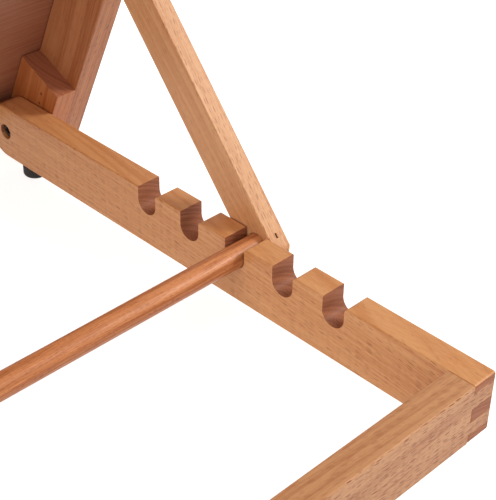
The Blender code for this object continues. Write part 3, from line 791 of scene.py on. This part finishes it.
def strut_washer(name, side):
    low, high = local_box(name, "board")
    thick = high.x - low.x
    radius = (high.z - low.z) / 2
    ease = 0.0003
    profile = [(SLEEVE_BORE, 0), (radius - ease, 0), (radius, ease), (radius, thick - ease),
               (radius - ease, thick), (SLEEVE_BORE, thick)]
    mesh = turned(name, profile, (side, 0, 0), inner_face(low, high, side), 48, ring=True)
    piece = new_object(f"{name}_steel", mesh, "board")
    finish_piece(piece)
    place_piece(piece, "board", MATERIALS["steel"], "steel", name)


def ledge_screw(name):
    low, high = local_box(name, "board")
    center = ((low.x + high.x) / 2, high.y, (low.z + high.z) / 2)
    radius = (high.x - low.x) / 2
    length = high.y - low.y
    ease, rim, head, point, socket_depth = 0.0003, 0.0012, 0.0030, 0.003, 0.0012
    profile = [(0, 0), (radius - ease, 0), (radius, ease), (radius, rim),
               (SCREW_SHANK_RADIUS, head), (SCREW_SHANK_RADIUS, length - point), (0, length)]
    piece = new_object(f"{name}_steel", turned(name, profile, (0, -1, 0), center, 32), "board")
    socket = hexagon(f"{name}_socket", (0, -1, 0), center, SMALL_SOCKET_WIDTH, socket_depth)
    finish_piece(piece, [socket], SOCKET_EDGE_EASE)
    place_piece(piece, "board", MATERIALS["steel"], "steel", name)


def block_nail(name, side):
    low, high = local_box(name, "board")
    radius = (high.y - low.y) / 2
    length = high.x - low.x
    dimple, ease, point = 0.0002, 0.0003, 0.001
    profile = [(0, dimple), (radius * 0.6, 0), (radius, ease), (radius, length - point),
               (0, length)]
    center = inner_face(low, high, side, (low.y + high.y) / 2)
    piece = new_object(f"{name}_steel", turned(name, profile, (side, 0, 0), center, 16), "board")
    finish_piece(piece)
    place_piece(piece, "board", MATERIALS["dark_steel"], "steel", name)


def dowel_brad(name):
    low, high = local_box(name, "prop")
    piece = new_object(f"{name}_steel", block(name, low, high), "prop")
    add_bevel(piece, BRAD_EASE, 2)
    finish_piece(piece)
    place_piece(piece, "prop", MATERIALS["dark_steel"], "steel", name)


# ---------------------------------------------------------------- board

def nail_holes(name, side, face_x, depth):
    holes = []
    for index in (1, 2):
        word = "left" if side < 0 else "right"
        low, high = local_box(f"block_nail_{index}_{word}", "board")
        center = (side * face_x, (low.y + high.y) / 2, (low.z + high.z) / 2)
        holes.append(hole(f"{name}_nail_hole_{index}", (side, 0, 0), center, NAIL_HOLE_RADIUS,
                          depth, 16))
    return holes


def side_batten(word):
    side = SIDES[word]
    name = f"side_batten_{word}"
    low, high = local_box(name, "board")
    x_inner, x_outer = sorted((abs(low.x), abs(high.x)))
    bar = new_object(f"{name}_wood", block(name, low, high), "board")
    add_bevel(bar, BATTEN_EASE, 4)
    cutters = nail_holes(name, side, x_inner, BATTEN_NAIL_DEPTH)
    width = x_outer - x_inner
    sleeve, head, head_depth = 0.0036, 0.0068, 0.0026
    profile = [(0, -OVERSHOOT), (sleeve, -OVERSHOOT), (sleeve, width - head_depth),
               (head, width - head_depth), (head, width + OVERSHOOT), (0, width + OVERSHOOT)]
    for index, z in enumerate((0.0, STRUT_HINGE)):
        center = (side * x_inner, 0, z)
        cutters.append(turned(f"{name}_sleeve_{index}", profile, (side, 0, 0), center))
    finish_piece(bar, cutters, CUT_EDGE_EASE)
    # painted shade: these beech colours are darker than the other pieces' to stand partly for the shade under the
    # leaning board
    material = wood(f"beech_{name}", name, "board", "z", "x", 41 if side < 0 else 43,
                    light=srgb(190, 126, 82), dark=srgb(160, 92, 50), fleck=srgb(100, 54, 30))
    place_piece(bar, "board", material, "beech", name)


def spacer_block(word):
    side = SIDES[word]
    name = f"spacer_block_{word}"
    low, high = local_box(name, "board")
    x_inner, x_outer = sorted((abs(low.x), abs(high.x)))
    x_low, x_high = sorted_x(side, x_inner, x_outer + JOINT_OVERLAP)
    mesh = block(name, (x_low, low.y, low.z), (x_high, high.y, high.z))
    piece = new_object(f"{name}_wood", mesh, "board")
    add_bevel(piece, BLOCK_EASE, 3)
    reach = x_outer - x_inner + OVERSHOOT
    cutters = nail_holes(name, side, x_inner, reach)
    cutters.append(hole(f"{name}_bolt_hole", (side, 0, 0), (side * x_inner, 0, 0),
                        BOLT_RADIUS + BOLT_CLEARANCE, reach))
    finish_piece(piece, cutters, BLOCK_HOLE_EASE)
    # painted shade: these beech colours are darker than the other pieces' to stand partly for the shade under the
    # leaning board
    material = wood(f"beech_{name}", name, "board", "z", "x", 47 if side < 0 else 53,
                    fleck_strength=0.4, light=srgb(192, 120, 68), dark=srgb(162, 86, 40),
                    fleck=srgb(110, 54, 28), end_light=srgb(176, 108, 76),
                    end_dark=srgb(138, 80, 52))
    place_piece(piece, "board", material, "beech", name)


def drawing_panel():
    name = "drawing_panel"
    low, high = local_box(name, "board")
    ledge_high = local_box("paper_ledge", "board")[1]
    outline = rounded_rectangle((low.x, low.z), (high.x, high.z), PANEL_CORNER)
    piece = new_object(f"{name}_wood", prism(name, outline, low.y, high.y, "y"), "board")
    add_bevel(piece, PANEL_EASE, 3)
    rebate_low = (low.x - OVERSHOOT, low.y - OVERSHOOT, low.z - OVERSHOOT)
    rebate_high = (high.x + OVERSHOOT, ledge_high.y + JOINT_LINE, ledge_high.z + JOINT_LINE)
    cutters = [block(f"{name}_rebate", rebate_low, rebate_high)]
    rim, bore, taper_end, through = 0.0021, 0.0017, 0.0040, high.y - low.y + OVERSHOOT
    for index in (1, 2, 3):
        screw_low, screw_high = local_box(f"ledge_screw_{index}", "board")
        center = ((screw_low.x + screw_high.x) / 2, high.y, (screw_low.z + screw_high.z) / 2)
        head = (screw_high.x - screw_low.x) / 2 + SCREW_HEAD_CLEARANCE
        profile = [(0, -OVERSHOOT), (head, -OVERSHOOT), (head, rim), (bore, taper_end),
                   (bore, through), (0, through)]
        cutters.append(turned(f"{name}_screw_hole_{index}", profile, (0, -1, 0), center))
    finish_piece(piece, cutters, SMALL_HOLE_EASE)
    place_piece(piece, "board", plywood("plywood_panel", low.y, high.y), "plywood", name)


def paper_ledge():
    name = "paper_ledge"
    low, high = local_box(name, "board")
    outline = rounded_rectangle((low.y, low.z), (high.y, high.z), LEDGE_CORNER, 8)
    piece = new_object(f"{name}_wood", prism(name, outline, low.x, high.x), "board")
    add_bevel(piece, LEDGE_EASE, 4, 70)
    finish_piece(piece)
    material = wood(f"beech_{name}", name, "board", "x", "y", 59, slope=0.015)
    place_piece(piece, "board", material, "beech", name)


# ---------------------------------------------------------------- prop

def strut(word):
    side = SIDES[word]
    name = f"strut_{word}"
    low, high = local_box(name, "prop")
    x_inner, x_outer = sorted((abs(low.x), abs(high.x)))
    half = (high.y - low.y) / 2
    radius = high.z
    dowel_low, dowel_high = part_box("prop_dowel")
    socket = (dowel_high.z - dowel_low.z) / 2 + DOWEL_CLEARANCE
    spread = degrees(atan2(half, sqrt(radius ** 2 - half ** 2)))
    outline = arc((0, 0), radius, 90 - spread, 90 + spread, 16)
    outline += arc((0, -STRUT_LENGTH), radius, 270 - spread, 270 + spread, 16)
    bar = new_object(f"{name}_wood", prism(name, outline, low.x, high.x), "prop")
    add_bevel(bar, STRUT_EASE, 4, 35)
    cutters = [
        recess_cutter(f"{name}_recess", side, x_inner, (0, 0), BOLT_RECESS_RADIUS,
                      STRUT_RECESS_DEPTH, x_outer - x_inner + OVERSHOOT),
        hole(f"{name}_socket", (side, 0, 0), (side * x_inner, 0, -STRUT_LENGTH), socket,
             DOWEL_SOCKET_DEPTH, 48),
        brad_hole(f"{name}_brad_hole", word, half + OVERSHOOT),
    ]
    finish_piece(bar, cutters, SMALL_HOLE_EASE)
    material = wood(f"beech_{name}", name, "prop", "z", "x", 61 if side < 0 else 67,
                    fleck_strength=0.8, fleck_share=0.34, fleck_size=(0.0055, 0.00058),
                    fleck_turn=50.0, light=srgb(224, 170, 120), dark=srgb(202, 140, 90))
    place_piece(bar, "prop", material, "beech", name)


def brad_hole(name, word, y_high):
    low, high = local_box(f"dowel_brad_{word}", "prop")
    margin = Vector((0.0001, 0.0001, 0.0002))
    corner_low, corner_high = low - margin, high + margin
    return block(name, corner_low, (corner_high.x, y_high, corner_high.z))


def prop_dowel():
    name = "prop_dowel"
    low, high = local_box(name, "prop")
    radius, ease = (high.z - low.z) / 2, 0.0008
    profile = [(0, low.x), (radius - ease, low.x), (radius, low.x + ease),
               (radius, high.x - ease), (radius - ease, high.x), (0, high.x)]
    mesh = turned(name, profile, (1, 0, 0), (0, 0, -STRUT_LENGTH), 72)
    piece = new_object(f"{name}_wood", mesh, "prop")
    cutters = [brad_hole(f"{name}_brad_hole_{word}", word, 0.008) for word in SIDES]
    finish_piece(piece, cutters)
    material = wood(f"beech_{name}", name, "prop", "x", "y", 71, slope=0.01,
                    fleck_strength=0.5, fleck_share=0.5, fleck_size=(0.0036, 0.0003),
                    fleck_turn=45.0, fleck_on_edge=0.8, stain_strength=0.35,
                    light=srgb(220, 146, 94), dark=srgb(164, 94, 52), fleck=srgb(138, 70, 34),
                    roughness=0.34)
    place_piece(piece, "prop", material, "dowel_wood", name)


# ---------------------------------------------------------------- assembly

MATERIALS = {
    "rubber": rubber(),
    "steel": steel("zinc_steel", srgb(200, 196, 188), srgb(150, 146, 138), 0.34),
    "dark_steel": steel("dark_steel", srgb(96, 88, 80), srgb(52, 46, 42), 0.42),
}


def build():
    make_camera()
    make_stage()
    base_rear_rail()
    drawing_panel()
    paper_ledge()
    prop_dowel()
    for index in (1, 2, 3):
        ledge_screw(f"ledge_screw_{index}")
    for word, side in SIDES.items():
        base_rail(word)
        side_batten(word)
        spacer_block(word)
        strut(word)
        hinge_bolt(f"board_hinge_bolt_{word}", side)
        hinge_bolt(f"strut_bolt_{word}", side)
        sleeve_nut(f"board_hinge_nut_{word}", side)
        sleeve_nut(f"strut_nut_{word}", side)
        strut_washer(f"strut_washer_{word}", side)
        dowel_brad(f"dowel_brad_{word}")
        for index in (1, 2):
            block_nail(f"block_nail_{index}_{word}", side)
        for place in ("front", "rear"):
            foot(f"foot_{place}_{word}")
            foot_screw(f"foot_screw_{place}_{word}")


build()
